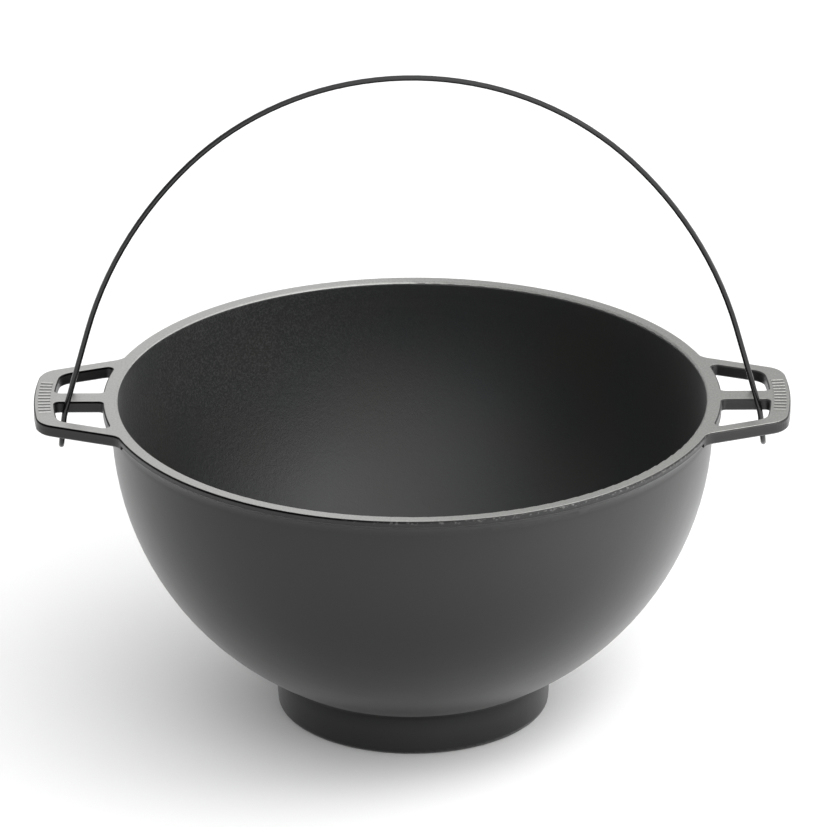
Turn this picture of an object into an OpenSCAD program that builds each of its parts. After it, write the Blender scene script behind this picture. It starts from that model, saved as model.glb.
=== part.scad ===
/* [Bowl] */
// Outer diameter of the rim
rim_d = 300; // [260:1:340]
// How far the rim band stands proud of the bowl's wall
band_step = 3.6; // [2:0.1:5]
// Height of the upright band below the rim face
band_h = 3; // [2:0.5:4]
// Radius of the hollow blend from the band into the wall
band_blend = 7; // [5.5:0.5:9]
// Upright height between the half ball of the bowl and the rim face
collar_h = 10.8; // [10:0.2:30]
// Thickness of the bowl's wall at the rim
wall = 3.2; // [2.6:0.1:5]
// Thickness of the bowl's floor
floor_t = 5; // [3.5:0.1:9]
// Chamfer on the outer edges of the rim, the lugs and their windows
edge = 0.7; // [0.3:0.1:1]
// Radius on the inner edge of the rim face
rim_inner_round = 1.4; // [0.4:0.1:2.5]

/* [Foot] */
// Outer diameter of the foot at the table
foot_d = 132.6; // [110:0.2:150]
// Draft of the foot's side, from upright
foot_draft = 4.5; // [1:0.5:8]
// Width of the foot ring at the table
foot_w = 7; // [6:0.5:12]
// Height of the bowl's underside above the table, inside the foot
base_gap = 4.8; // [3:0.1:10]
// Radius on the foot's outer lower edge
foot_round = 3; // [1:0.5:4]
// Radius of the hollow blend between foot and bowl
foot_blend = 4; // [1:0.5:8]

/* [Lugs] */
// How far a lug reaches past the rim
lug_reach = 34; // [30:0.5:50]
// Width of a lug where it leaves the rim
lug_root_w = 89; // [76:1:110]
// Angle at which each side of a lug closes in
lug_taper = 21.6; // [10:0.2:26]
// Thickness of a lug
lug_t = 6; // [5:0.5:8]
// Radius of the lug's outer corners
lug_corner = 12; // [8:0.5:16]
// Radius of the hollow blend from lug to rim
lug_blend = 9; // [4:0.5:14]
// Width of the outer bar that closes the windows
bar_w = 10; // [8:0.5:13]
// Width of the rail on each side of a lug
rail_w = 7.1; // [5:0.1:9]
// Width of the spoke between the two windows
spoke_w = 11; // [8:0.5:13]
// Ledge left between the rim and the windows
window_ledge = 0.5; // [0.5:0.1:3]
// Radius of the windows' outer corners, at the rail
window_far_corner = 9; // [6:0.5:10]
// Radius of the windows' other corners
window_corner = 2.5; // [1.5:0.5:4]

/* [Grip ribs] */
// Number of ribs across the outer bar
rib_count = 11; // [5:2:13]
// Distance between ribs
rib_pitch = 3.6; // [2.5:0.1:4]
// Length of a rib
rib_l = 6; // [4:0.5:7]
// Radius of a rib
rib_r = 0.9; // [0.6:0.1:1.2]
// Height of a rib above the lug's face
rib_h = 0.5; // [0.3:0.1:0.6]

/* [Bail] */
// Diameter of the bail's wire
wire_d = 2.7; // [2:0.1:4]
// Height of the bail's top above the rim face
bail_h = 169.3; // [150:1:200]
// Half angle of the bail's rounder top arc
top_angle = 45; // [35:1:55]
// Lean of the straight legs, from upright
leg_lean = 15.3; // [10:0.1:20]
// Length of a straight leg, down to the spoke
leg_l = 42.7; // [30:0.1:55]
// Distance from the windows' outer end to the middle of the wire
hook_inset = 5.6; // [4.5:0.1:9]
// Gap between a hook and the spoke's edges
hook_gap = 0.4; // [0.3:0.1:2]
// Lean of the hooks, from upright
hook_lean = 6; // [2:0.5:10]
// Radius of the slight bends above a hook and at its free end
hook_bend_r = 25; // [10:1:40]
// Straight length of a hook below that bend
hook_drop = 9.4; // [4:0.1:12]
// Lean of the hook's free end, from upright
tail_lean = 14; // [10:0.5:16]
// Straight length of the hook's free end
tail_l = 21; // [16:0.5:26]

/* [Hidden] */

$fn = 120;
// Number of facets round the wire and the ribs
wire_fn = 32;
// Swelling of the wire where two bends meet
knuckle = 0.03;
// How far the round and straight parts of the casting's section run into each other
seam = 0.002;
// Number of steps in each arc of an outline
arc_steps = 8;
// How far a shape that cuts stands clear of what it cuts
over = 1;

rim_r = rim_d / 2;
bowl_r = rim_r - band_step;
inner_r = bowl_r - wall;
bowl_z = base_gap + bowl_r;
inner_z = base_gap + floor_t + inner_r;
top_z = bowl_z + collar_h;
band_c = [bowl_r + band_blend, top_z - band_h - sqrt(band_step * (2 * band_blend - band_step))];

foot_r = foot_d / 2;
foot_out = [cos(foot_draft), -sin(foot_draft)];
foot_up = [sin(foot_draft), cos(foot_draft)];
foot_line = foot_r * foot_out[0] + bowl_z * foot_up[0];
// Where the foot's side ends, well inside the bowl's floor
foot_top = bowl_r / 3;
edge_x = foot_r - foot_round * (1 - sin(foot_draft)) / cos(foot_draft);
blend_c = [0, bowl_z] + beside(bowl_r + foot_blend, foot_line + foot_blend, -1, foot_out, foot_up);

lug_r = rim_r + lug_reach;
lug_z = top_z - lug_t;
side_out = [sin(lug_taper), cos(lug_taper)];
side_on = [cos(lug_taper), -sin(lug_taper)];
side_line = rim_r * side_out[0] + lug_root_w / 2 * side_out[1];
// The lug's blend starts this far inside the rim's edge
blend_sink = 0.3;
root_c = beside(rim_r - blend_sink + lug_blend, side_line + lug_blend, 1, side_out, side_on);
corner_c = beside(lug_r - lug_corner, side_line - lug_corner, 1, side_out, side_on);
root_in_r = (inner_r + rim_inner_round + rim_r) / 2;
// How far the lug's outline runs on inside the rim, in degrees
root_turn = 1;
// How far the lug's edge runs on past its blend, in degrees
edge_turn = 20;

window_in_r = rim_r + window_ledge;
window_out_r = lug_r - bar_w;
window_line = side_line - rail_w;
far_c = beside(window_out_r - window_far_corner, window_line - window_far_corner, 1, side_out, side_on);
near_c = beside(window_in_r + window_corner, window_line - window_corner, 1, side_out, side_on);
spoke_y = spoke_w / 2 + window_corner;
spoke_in_c = [sqrt(pow(window_in_r + window_corner, 2) - pow(spoke_y, 2)), spoke_y];
spoke_out_c = [sqrt(pow(window_out_r - window_corner, 2) - pow(spoke_y, 2)), spoke_y];

wire_r = wire_d / 2;
spoke_z = top_z - lug_t / 2;
hook_r = norm([spoke_w, lug_t]) / 2 + hook_gap + wire_r;
hook_x = window_out_r - hook_inset;
// The two arcs of the bail's side, from its span and its height
side_angle = 90 - leg_lean - top_angle;
arc_span = hook_x - leg_l * sin(leg_lean);
arc_drop = top_z + bail_h - spoke_z - leg_l * cos(leg_lean);
span_a = sin(top_angle);
span_b = cos(leg_lean) - sin(top_angle);
drop_a = 1 - cos(top_angle);
drop_b = cos(top_angle) - sin(leg_lean);
arc_scale = span_a * drop_b - span_b * drop_a;
top_r = (arc_span * drop_b - arc_drop * span_b) / arc_scale;
side_r = (arc_drop * span_a - arc_span * drop_a) / arc_scale;

// Bends of one side of the bail, from the top arc down: [length or radius, angle, roll before it]
side_bends = [
    [side_r, side_angle, 0],
    [leg_l, 0, 0],
    [hook_bend_r, leg_lean - hook_lean, 0],
    [hook_drop, 0, 0],
    [hook_r, 180, 90],
    [hook_bend_r, tail_lean - hook_lean, -90],
    [tail_l, 0, 0]
];

// Centre at distance r from the middle and at distance d along out, on the given side
function beside(r, d, side, out, on) = d * out + side * sqrt(r * r - d * d) * on;
function angle_of(p) = atan2(p[1], p[0]);
function arc(c, r, from, to, steps = arc_steps, first = 0) =
    [for (i = [first : steps]) let (a = from + (to - from) * i / steps) c + r * [cos(a), sin(a)]];
function flip(points) = [for (i = [len(points) - 1 : -1 : 0]) [points[i][0], -points[i][1]]];

function both_sides(side) = concat(flip([for (i = [1 : len(side) - 1]) side[i]]), side);

// One side of a lug's outline, made smaller by s, from the middle of its end round to the rim
function lug_side(s) = concat(
    arc([0, 0], lug_r - s, 0, angle_of(corner_c)),
    arc(corner_c, lug_corner - s, angle_of(corner_c), 90 - lug_taper, first = 1),
    arc(root_c, lug_blend + s, 270 - lug_taper, 180 + angle_of(root_c))
);
function lug_outline() = concat(
    both_sides(lug_side(0)),
    arc([0, 0], root_in_r, angle_of(root_c) - root_turn, root_turn - angle_of(root_c))
);
// The lug's edge, made smaller by s, and on past the rim at both ends
function lug_edge_line(s) = both_sides(concat(
    lug_side(s),
    arc(root_c, lug_blend + s, 180 + angle_of(root_c), 180 - edge_turn + angle_of(root_c), first = 1)
));

// One window's outline, made larger by g
function window_outline(g) = concat(
    arc(spoke_out_c, window_corner + g, -90, angle_of(spoke_out_c)),
    arc([0, 0], window_out_r + g, angle_of(spoke_out_c), angle_of(far_c), first = 1),
    arc(far_c, window_far_corner + g, angle_of(far_c), 90 - lug_taper, first = 1),
    arc(near_c, window_corner + g, 90 - lug_taper, 180 + angle_of(near_c)),
    arc([0, 0], window_in_r - g, angle_of(near_c), angle_of(spoke_in_c), first = 1),
    arc(spoke_in_c, window_corner + g, 180 + angle_of(spoke_in_c), 270, first = 1)
);

// Solid between two outlines with equal numbers of points
module loft(lower, upper, z_low, z_high) {
    n = len(lower);
    points = [for (p = lower) [p[0], p[1], z_low], for (p = upper) [p[0], p[1], z_high]];
    sides = [for (i = [0 : n - 1]) let (j = (i + 1) % n) [i, n + i, n + j, j]];
    polyhedron(points, concat([[for (i = [0 : n - 1]) i], [for (i = [n - 1 : -1 : 0]) n + i]], sides));
}

// Three-sided bar with an open line along each of its edges
module bar(lines, heights) {
    n = len(lines[0]);
    points = [for (k = [0 : 2]) for (p = lines[k]) [p[0], p[1], heights[k]]];
    sides = [for (k = [0 : 2]) for (i = [0 : n - 2]) let (m = (k + 1) % 3)
        [k * n + i, m * n + i, m * n + i + 1, k * n + i + 1]];
    polyhedron(points, concat([[2 * n, n, 0], [n - 1, 2 * n - 1, 3 * n - 1]], sides));
}

module bowl_section() {
    translate([0, bowl_z]) circle(bowl_r);
    translate([0, bowl_z]) square([bowl_r, collar_h]);
    difference() {
        translate([inner_r, band_c[1]]) square([rim_r - inner_r, top_z - band_c[1]]);
        translate(band_c) circle(band_blend + seam);
    }
}

module foot_section() {
    edge_c = [edge_x, foot_round];
    polygon([
        [foot_r - foot_w, 0],
        [edge_x, 0],
        edge_c,
        edge_c + (foot_round - seam) * foot_out,
        edge_c + (foot_round - seam) * foot_out + foot_top * foot_up,
        [foot_r - foot_w, foot_top]
    ]);
    translate(edge_c) circle(foot_round);
    in_foot = blend_c - (foot_blend + over) * foot_out;
    in_bowl = [0, bowl_z] + (blend_c - [0, bowl_z]) * (bowl_r - over) / (bowl_r + foot_blend);
    difference() {
        polygon([in_foot, blend_c, in_bowl]);
        translate(blend_c) circle(foot_blend + 2 * seam);
    }
}

module cavity_section() {
    translate([0, inner_z]) circle(inner_r);
    translate([0, inner_z]) square([inner_r, top_z - inner_z + over]);
    round_c = [inner_r + rim_inner_round, top_z - rim_inner_round];
    difference() {
        translate([inner_r - over, round_c[1]]) square([rim_inner_round + over, rim_inner_round + over]);
        translate(round_c) circle(rim_inner_round);
    }
}

module rim_edge_section() {
    polygon([
        [rim_r - edge - over, top_z + over],
        [rim_r + over, top_z - edge - over],
        [rim_r + over, top_z + over]
    ]);
}

module casting_section() {
    intersection() {
        difference() {
            union() {
                bowl_section();
                foot_section();
            }
            cavity_section();
            rim_edge_section();
        }
        square([rim_r + over, top_z]);
    }
}

module lug() {
    difference() {
        translate([0, 0, lug_z]) linear_extrude(lug_t) polygon(lug_outline());
        for (side = [0, 1]) mirror([0, side, 0])
            translate([0, 0, lug_z - 2 * over]) linear_extrude(lug_t + 4 * over) polygon(window_outline(0));
        lug_edges();
        translate([0, 0, 2 * spoke_z]) mirror([0, 0, 1]) lug_edges();
    }
    grip_ribs();
}

// Cuts the chamfers round the upper face of a lug and its windows
module lug_edges() {
    reach = edge + over;
    bar(
        [lug_edge_line(reach), lug_edge_line(-over), lug_edge_line(-over)],
        [top_z + over, top_z - reach, top_z + over]
    );
    for (side = [0, 1]) mirror([0, side, 0])
        loft(window_outline(-over), window_outline(reach), top_z - reach, top_z + over);
}

module grip_ribs() {
    rib_mid = (window_out_r + lug_r) / 2;
    step = rib_pitch / rib_mid * 180 / PI;
    for (i = [(1 - rib_count) / 2 : (rib_count - 1) / 2])
        rotate([0, 0, i * step])
            translate([rib_mid - rib_l / 2, 0, top_z + rib_h - rib_r])
                rotate([0, 90, 0]) cylinder(h = rib_l, r = rib_r, $fn = wire_fn);
}

module pot_body() {
    color("#3b3b3b") {
        rotate_extrude() casting_section();
        lug();
        mirror([1, 0, 0]) lug();
    }
}

// Wire along +Y from the origin through the bends from number i on, each bend turning to -X
module wire(bends, i = 0) {
    if (i < len(bends)) {
        size = bends[i][0];
        angle = bends[i][1];
        sphere(wire_r + knuckle, $fn = wire_fn);
        rotate([0, bends[i][2], 0]) {
            if (angle == 0) {
                rotate([-90, 0, 0]) cylinder(h = size, r = wire_r, $fn = wire_fn);
                translate([0, size, 0]) wire(bends, i + 1);
            } else {
                translate([-size, 0, 0]) {
                    wire_arc(size, angle);
                    rotate([0, 0, angle]) translate([size, 0, 0]) wire(bends, i + 1);
                }
            }
        }
    }
}

module wire_arc(radius, angle) {
    rotate_extrude(angle = angle) translate([radius, 0]) circle(wire_r, $fn = wire_fn);
}

module bail_side() {
    rotate([-90, -90, 0]) rotate([0, 0, top_angle]) translate([top_r, 0, 0]) wire(side_bends);
}

module bail_handle() {
    color("#242424")
        translate([0, -hook_r, top_z + bail_h - top_r]) {
            rotate([90, 0, 0]) rotate([0, 0, 90 - top_angle]) wire_arc(top_r, 2 * top_angle);
            bail_side();
            mirror([1, 0, 0]) bail_side();
        }
}

pot_body();
bail_handle();
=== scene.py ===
"""A cast iron polenta pot with a wire bail: its finishes, its light and its camera."""

import math

import bpy
from mathutils import Matrix, Vector


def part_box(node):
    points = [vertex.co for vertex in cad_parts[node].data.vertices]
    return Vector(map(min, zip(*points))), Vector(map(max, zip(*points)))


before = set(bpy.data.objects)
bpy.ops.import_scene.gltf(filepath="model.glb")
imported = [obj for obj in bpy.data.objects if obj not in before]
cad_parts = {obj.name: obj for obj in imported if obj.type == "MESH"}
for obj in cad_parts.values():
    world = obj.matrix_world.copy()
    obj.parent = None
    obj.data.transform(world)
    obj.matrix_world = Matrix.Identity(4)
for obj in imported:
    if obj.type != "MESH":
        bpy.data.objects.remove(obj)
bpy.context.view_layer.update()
bpy.ops.object.select_all(action="DESELECT")


# The casting
# Bowl, rim, foot and lugs are one piece of grey iron, cast in sand and blackened by seasoning. The
# rim and the lugs' upper faces are ground flat afterwards, so there the bare iron shows through.

MM = 0.001
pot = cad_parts["pot_body"]
_, pot_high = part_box("pot_body")
rim_radius = pot_high.y

# Sizes that the finish follows, from the pot's drawing
wall = 3.2 * MM
band_step = 3.6 * MM
rib_height = 0.5 * MM
rib_pitch = 3.6 * MM
rib_count = 11
rib_middle = 179 * MM
rib_length = 6 * MM
rim_height = pot_high.z - rib_height
inner_radius = rim_radius - band_step - wall
inner_centre = 153 * MM


def linear(hex_colour):
    """An sRGB hex colour as the linear colour that a shader takes."""
    parts = [int(hex_colour[i : i + 2], 16) / 255 for i in (1, 3, 5)]
    return [p / 12.92 if p <= 0.04045 else ((p + 0.055) / 1.055) ** 2.4 for p in parts] + [1]


def feed(socket, value):
    """Gives an input its value, or links it to an output or to a node's first output in use."""
    if isinstance(value, bpy.types.Node):
        value = next(output for output in value.outputs if output.enabled)
    if isinstance(value, bpy.types.NodeSocket):
        socket.id_data.links.new(value, socket)
    else:
        socket.default_value = value


def add(tree, kind, *values, **named):
    """Adds a node. Values feed its inputs in order, capital names the input of that name, and
    small names are its settings."""
    node = tree.nodes.new("ShaderNode" + kind)
    settings = {name: value for name, value in named.items() if name[0].islower()}
    for name, value in settings.items():
        setattr(node, name, value)
    in_use = [socket for socket in node.inputs if socket.enabled]
    for socket, value in zip(in_use, values):
        feed(socket, value)
    by_name = {socket.name.replace(" ", "_"): socket for socket in in_use}
    for name, value in named.items():
        if name not in settings:
            feed(by_name[name], value)
    return node


def finish(name):
    """A new material, its node tree and its surface shader."""
    material = bpy.data.materials.new(name)
    material.use_nodes = True
    return material, material.node_tree, material.node_tree.nodes["Principled BSDF"]


# Seasoned grey cast iron looks satin black outside, and a duller, sandy black inside
cast_iron, tree, surface = finish("seasoned_cast_iron")
soft_ends = {"interpolation_type": "SMOOTHSTEP"}
place = add(tree, "TexCoord").outputs["Object"]
xyz = add(tree, "SeparateXYZ", place)
across, away, height = xyz.outputs

# Sand grain: the mould's sand is about 0.5 mm and leaves lumps of 1 mm and, more rarely, of 3 mm
grain_width, lump_width = 1.0 * MM, 3.2 * MM
grain = add(tree, "TexNoise", place, Scale=1 / grain_width, Detail=2.0, Roughness=0.6)
lumps = add(tree, "TexNoise", place, Scale=1 / lump_width, Detail=2.0)
# The slow unevenness of a hand-rammed mould
wave_length = 40 * MM
waves = add(tree, "TexNoise", place, Scale=1 / wave_length, Detail=2.0)

# 1 inside the bowl, 0 outside
from_centre = add(tree, "VectorMath", place, (0, 0, inner_centre), operation="DISTANCE")
bowl_edge = inner_radius + 0.2 * MM, inner_radius + 1.2 * MM
inside = add(tree, "MapRange", from_centre, *bowl_edge, 1, 0, **soft_ends)
outside = add(tree, "Math", 1.0, inside, operation="SUBTRACT")

# 1 on the ground faces: the rim, the lugs and the crowns of the ribs, with a thin dark line of
# painted shade in the crease round each rib's foot. The bright metal turns over the edges by 0.1
# mm, and by 0.8 mm at the bowl's mouth, where spoons keep the edge bare
mouth_edge = inner_radius + 2.5 * MM, inner_radius + 3.5 * MM
mouth = add(tree, "MapRange", from_centre, *mouth_edge, 1, 0, **soft_ends)
spoon_wear = 0.7 * MM
worn_height = add(tree, "Math", mouth, spoon_wear, height, operation="MULTIPLY_ADD")
flat_bottom = rim_height - 0.16 * MM, rim_height - 0.06 * MM
flat = add(tree, "MapRange", worn_height, *flat_bottom, 0, 1, **soft_ends)
rib_foot = rim_height + 0.05 * MM, rim_height + 0.12 * MM
below_ribs = add(tree, "MapRange", height, *rib_foot, 1, 0, **soft_ends)
crown_bottom = rim_height + 0.08 * MM, rim_height + 0.16 * MM
crown = add(tree, "MapRange", height, *crown_bottom, 0, 1, **soft_ends)

# Painted shade between the ribs: the middle of each gap between them is kept dark
in_plan = add(tree, "CombineXYZ", across, away)
from_axis = add(tree, "VectorMath", in_plan, operation="LENGTH")
sideways = add(tree, "Math", across, operation="ABSOLUTE")
angle = add(tree, "Math", away, sideways, operation="ARCTAN2")
along = add(tree, "Math", angle, rib_middle / rib_pitch, operation="MULTIPLY")
rib_turn = add(tree, "Math", along, math.tau, operation="MULTIPLY")
rib_wave = add(tree, "Math", rib_turn, operation="COSINE")
gaps = add(tree, "MapRange", rib_wave, -0.3, 0.1, 1, 0, **soft_ends)
in_row = add(tree, "Math", from_axis, rib_middle, rib_length / 2, operation="COMPARE")
in_count = add(tree, "Math", along, 0, rib_count / 2 - 0.5, operation="COMPARE")
among = add(tree, "Math", in_row, in_count, operation="MULTIPLY")
painted_gap_shade = add(tree, "Math", gaps, among, operation="MULTIPLY")
gap_shade_depth = 0.85
gap_shade_cut = add(tree, "Math", painted_gap_shade, -gap_shade_depth, 1.0, operation="MULTIPLY_ADD")
# The painted shade in the gaps and at each rib's foot takes the bare grey away there
for share in (below_ribs, gap_shade_cut):
    flat = add(tree, "Math", flat, share, operation="MULTIPLY")
ground = add(tree, "Math", flat, crown, operation="MAXIMUM")

# 1 in the strip under the rim face, where the skin of the casting broke away in grinding
outer_face = add(tree, "Math", 1.0, mouth, operation="SUBTRACT")
strip_top = rim_height - 0.5 * MM, rim_height - 0.1 * MM
strip = add(tree, "MapRange", height, *strip_top, 1, 0, **soft_ends)
strip_bottom = rim_height - 2.4 * MM, rim_height - 0.8 * MM
above_bottom = add(tree, "MapRange", height, *strip_bottom, 0, 1, **soft_ends)
for share in (above_bottom, outer_face):
    strip = add(tree, "Math", strip, share, operation="MULTIPLY")

# Bare specks in that strip: wear, gathered on the right as painted light
chip_width = 1.6 * MM
chips = add(tree, "TexNoise", place, Scale=1 / chip_width, Detail=3.0)
speck_strength = 0.3
specks_and_painted_light = add(tree, "MapRange", chips, 0.54, 0.64, 0, speck_strength, **soft_ends)
specks_and_painted_light = add(tree, "Math", specks_and_painted_light, strip, operation="MULTIPLY")
to_right = add(tree, "MapRange", across, -60 * MM, 60 * MM, 0, 1, **soft_ends)
rim_edge = rim_radius + 0.5 * MM, rim_radius + 1.5 * MM
on_rim = add(tree, "MapRange", from_centre, *rim_edge, 1, 0, **soft_ends)
# Painted light: the specks are kept to the rim's right side
painted_light_right_rim = add(tree, "Math", to_right, on_rim, operation="MULTIPLY")
specks_and_painted_light = add(tree, "Math", specks_and_painted_light, painted_light_right_rim, operation="MULTIPLY")
bare = add(tree, "Math", ground, specks_and_painted_light, operation="MAXIMUM")

# Painted shade: a near-black line along the strip's top edge, strongest on the left
edge_shade_bottom = rim_height - 1.2 * MM, rim_height - 0.8 * MM
painted_edge_shade = add(tree, "MapRange", height, *edge_shade_bottom, 0, 1, **soft_ends)
edge_shade_top = rim_height - 0.2 * MM, rim_height - 0.1 * MM
below_top = add(tree, "MapRange", height, *edge_shade_top, 1, 0, **soft_ends)
fainter_right = 0.7
on_left = add(tree, "Math", to_right, -fainter_right, 1.0, operation="MULTIPLY_ADD")
for share in (below_top, on_left, outer_face):
    painted_edge_shade = add(tree, "Math", painted_edge_shade, share, operation="MULTIPLY")

# Seasoning is black: neutral outside, and inside it goes slowly between a trace of blue and a
# trace of brown
black = add(tree, "Mix", waves, linear("#151a1d"), linear("#201d1a"), data_type="RGBA")
seasoned = add(tree, "Mix", inside, linear("#1a1a1a"), black, data_type="RGBA")
# Painted light: high on the inner wall, most on the left, the sand grain's tops are paler
painted_lit_grain = add(tree, "MapRange", grain, 0.42, 0.66, 0.15, 1, **soft_ends)
high_up = add(tree, "MapRange", height, 90 * MM, 140 * MM, 0.05, 1, **soft_ends)
to_left = add(tree, "MapRange", across, -110 * MM, 10 * MM, 1, 0.08, **soft_ends)
for share in (high_up, to_left, inside):
    painted_lit_grain = add(tree, "Math", painted_lit_grain, share, operation="MULTIPLY")
with_lit_grain = add(tree, "Mix", painted_lit_grain, seasoned, linear("#3d3e3d"), data_type="RGBA")
# Painted shade: the near-black line along the strip's top edge
with_edge_shade = add(tree, "Mix", painted_edge_shade, with_lit_grain, linear("#050505"), data_type="RGBA")
# Ground iron is grey with dark pores; its grey is painted darker on the right, as painted shade
pores_and_right_shade = add(tree, "Math", to_right, 0.5, grain, operation="MULTIPLY_ADD")
pores_and_right_shade = add(tree, "MapRange", pores_and_right_shade, 0.3, 1.2, 0, 1, **soft_ends)
iron = add(tree, "Mix", pores_and_right_shade, linear("#b2b2b0"), linear("#8b8b88"), data_type="RGBA")
colour = add(tree, "Mix", bare, with_edge_shade, iron, data_type="RGBA")
feed(surface.inputs["Base Color"], colour)

# Painted shade outside: near-black metal dims the wall's reflections, most low down and least at
# the top and on the foot. The painted shade line along the strip is near-black metal, without
# shine
painted_low_shade = add(tree, "MapRange", height, 30 * MM, 150 * MM, 0.75, 0.25, **soft_ends)
above_foot = add(tree, "MapRange", height, 12 * MM, 26 * MM, 0.3, 1, **soft_ends)
for share in (above_foot, outside):
    painted_low_shade = add(tree, "Math", painted_low_shade, share, operation="MULTIPLY")
metal_and_painted_shade = add(tree, "Math", painted_low_shade, painted_edge_shade, operation="MAXIMUM")
iron_metallic = 0.95
bare_metal = add(tree, "Math", bare, iron_metallic, operation="MULTIPLY")
metal_and_painted_shade = add(tree, "Math", metal_and_painted_shade, bare_metal, operation="MAXIMUM")
feed(surface.inputs["Metallic"], metal_and_painted_shade)

# A dry bloom on the seasoning, seen along the surface
surface.inputs["Sheen Weight"].default_value = 0.12
surface.inputs["Sheen Roughness"].default_value = 0.35

# The inside is duller than the outside, and the rim's band and the hollow under it lie between
rough = add(tree, "MapRange", inside, 0, 1, 0.31, 0.42, **soft_ends)
band_bottom = rim_height - 12 * MM, rim_height - 7 * MM
band = add(tree, "MapRange", height, *band_bottom, 0, 1, **soft_ends)
band = add(tree, "Math", band, outside, operation="MULTIPLY")
for share, rise in ((band, 0.08), (waves, 0.06)):
    rough = add(tree, "Math", share, rise, rough, operation="MULTIPLY_ADD")
feed(surface.inputs["Roughness"], rough)

# Relief in millimetres: deepest inside on the left, slight outside and nearly none on the ground
# faces, with the broken skin of the strip on top
inner_relief, left_relief = 0.03, 0.1
outer_relief, strip_relief = 0.015, 0.12
sandy = add(tree, "Math", to_left, left_relief, inner_relief, operation="MULTIPLY_ADD")
sandy = add(tree, "Math", sandy, outer_relief, operation="SUBTRACT")
skin = add(tree, "Math", inside, sandy, outer_relief, operation="MULTIPLY_ADD")
smooth = add(tree, "MapRange", ground, 0, 1, 1, 0.15, **soft_ends)
skin = add(tree, "Math", skin, smooth, operation="MULTIPLY")
broken = add(tree, "Math", strip, strip_relief, operation="MULTIPLY")
skin = add(tree, "Math", skin, broken, operation="ADD")
sand = add(tree, "Math", grain, lumps, operation="ADD")
relief = add(tree, "Math", sand, skin, operation="MULTIPLY")
bump = add(tree, "Bump", Strength=1.0, Distance=MM, Height=relief)
feed(surface.inputs["Normal"], bump)

pot.data.materials.clear()
pot.data.materials.append(cast_iron)


# The bail
# One length of 2.7 mm steel wire, bent cold and blackened. It hangs by its two open hooks in the
# lugs' windows, with nothing else to fix it.

# Blackened wire is near black and glossy, with soft uneven lights where the drawing marked it
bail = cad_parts["bail_handle"]
black_wire, tree, surface = finish("blackened_steel_wire")
feed(surface.inputs["Base Color"], linear("#0e0e0f"))
mark_length, mark_relief = 3 * MM, 0.03 * MM
place = add(tree, "TexCoord").outputs["Object"]
draw_marks = add(tree, "TexNoise", place, Scale=1 / mark_length, Detail=4.0)
gloss = add(tree, "MapRange", draw_marks, To_Min=0.12, To_Max=0.24)
feed(surface.inputs["Roughness"], gloss)
bump = add(tree, "Bump", Strength=1.0, Distance=mark_relief, Height=draw_marks)
feed(surface.inputs["Normal"], bump)

bail.data.materials.clear()
bail.data.materials.append(black_wire)


# The floor
# A plain studio floor of matt white paper, wide enough to fill every view. It is no part of the
# object, and keeps the pot's soft shadow.

floor_radius = 12
bpy.ops.mesh.primitive_circle_add(
    vertices=96, radius=floor_radius, fill_type="NGON", location=(0, 0, 0)
)
floor = bpy.context.object
floor.name = "floor"
paper, tree, surface = finish("white_paper")
feed(surface.inputs["Base Color"], linear("#f8f8f8"))
feed(surface.inputs["Roughness"], 0.9)
floor.data.materials.append(paper)


# The light
# A studio tent, bright low down all round, with a soft box high in front, one high behind and one
# low on each side. A soft lamp low over the floor on the right lights what the wall mirrors there.

world = bpy.data.worlds.new("studio")
bpy.context.scene.world = world
world.use_nodes = True
tree = world.node_tree
tree.nodes.clear()
direction = add(tree, "TexCoord").outputs["Generated"]
_, _, upward = add(tree, "SeparateXYZ", direction).outputs
glow = add(tree, "MapRange", upward, 0.0, 0.2, 0.9, 0.1, **soft_ends)
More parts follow.
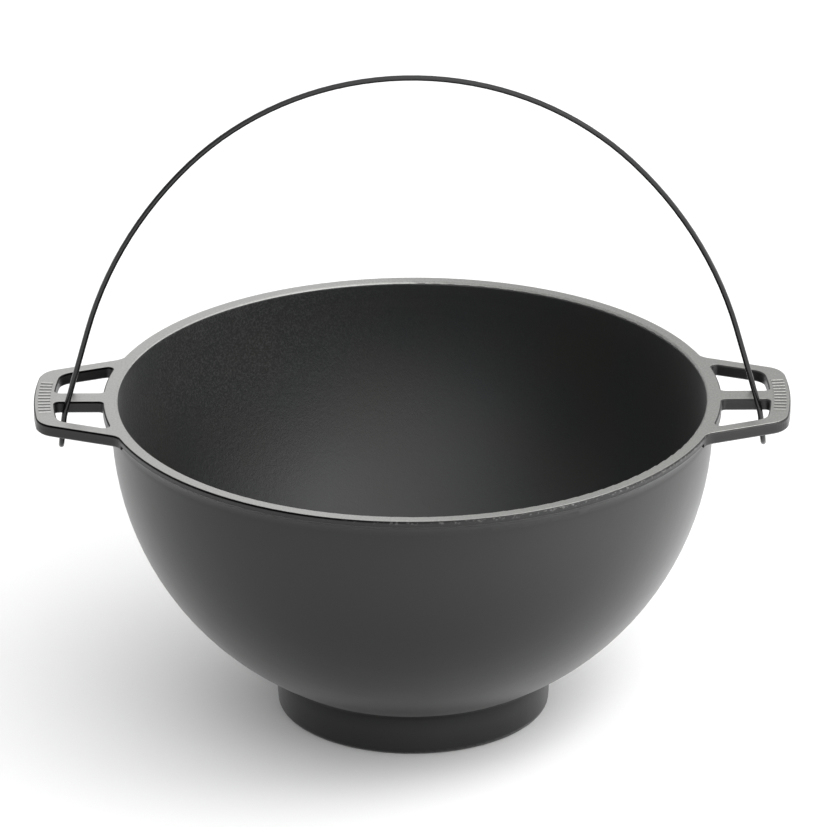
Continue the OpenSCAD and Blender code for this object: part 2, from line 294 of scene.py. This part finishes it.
# Each box: its azimuth from the front towards the right and its rise, in degrees, then the cosine
# where its soft edge ends, and its strength in the middle
for azimuth, rise, box_edge, strength in (
    (22, 32, 0.3, 1.85),
    (180, 58, 0.2, 1.08),
    (105, -10, 0.6, 1.9),
    (-105, -18, 0.75, 2.2),
):
    turn, tilt = math.radians(azimuth), math.radians(rise)
    middle = (math.sin(turn) * math.cos(tilt), -math.cos(turn) * math.cos(tilt), math.sin(tilt))
    towards = add(tree, "VectorMath", direction, middle, operation="DOT_PRODUCT")
    soft_box = add(tree, "MapRange", towards, box_edge, 1.0, 0, strength)
    glow = add(tree, "Math", glow, soft_box, operation="ADD")
background = add(tree, "Background", Color=(1, 1, 1, 1), Strength=glow)
add(tree, "OutputWorld", Surface=background)

lamp_place = Vector((0.5, -0.22, 0.55))
lamp_aim = Vector((0.42, -0.18, 0))
lamp_data = bpy.data.lights.new("soft_lamp", "AREA")
lamp_data.shape = "SQUARE"
lamp_data.size = 0.4
lamp_data.spread = math.radians(90)
lamp_data.energy = 1.3
lamp = bpy.data.objects.new("soft_lamp", lamp_data)
bpy.context.collection.objects.link(lamp)
lamp.location = lamp_place
lamp.rotation_mode = "QUATERNION"
lamp.rotation_quaternion = (lamp_aim - lamp_place).to_track_quat("-Z", "Y")


# The camera
# It stands where the photograph was taken from: far off, a little above the rim. It aims at the
# rim's centre, which lies at the aim pixel in the picture.

aim = Vector((0, 0, rim_height))
distance = 4.7
elevation = math.radians(23.38)
roll = math.radians(-0.227)
picture = 827
pixels_per_metre = 2055.9
aim_pixel = Vector((412.20, 395.93))

camera_data = bpy.data.cameras.new("camera")
camera_data.sensor_width = 36
camera_data.lens = distance * pixels_per_metre / picture * camera_data.sensor_width
camera_data.shift_x = (picture / 2 - aim_pixel.x) / picture
camera_data.shift_y = (aim_pixel.y - picture / 2) / picture
camera_data.clip_end = 100
camera = bpy.data.objects.new("camera", camera_data)
bpy.context.collection.objects.link(camera)
camera.location = aim + distance * Vector((0, -math.cos(elevation), math.sin(elevation)))
camera.rotation_mode = "QUATERNION"
upright = (aim - camera.location).to_track_quat("-Z", "Y")
camera.rotation_quaternion = upright @ Matrix.Rotation(roll, 3, "Z").to_quaternion()
bpy.context.scene.camera = camera
bpy.context.scene.view_settings.view_transform = "Standard"
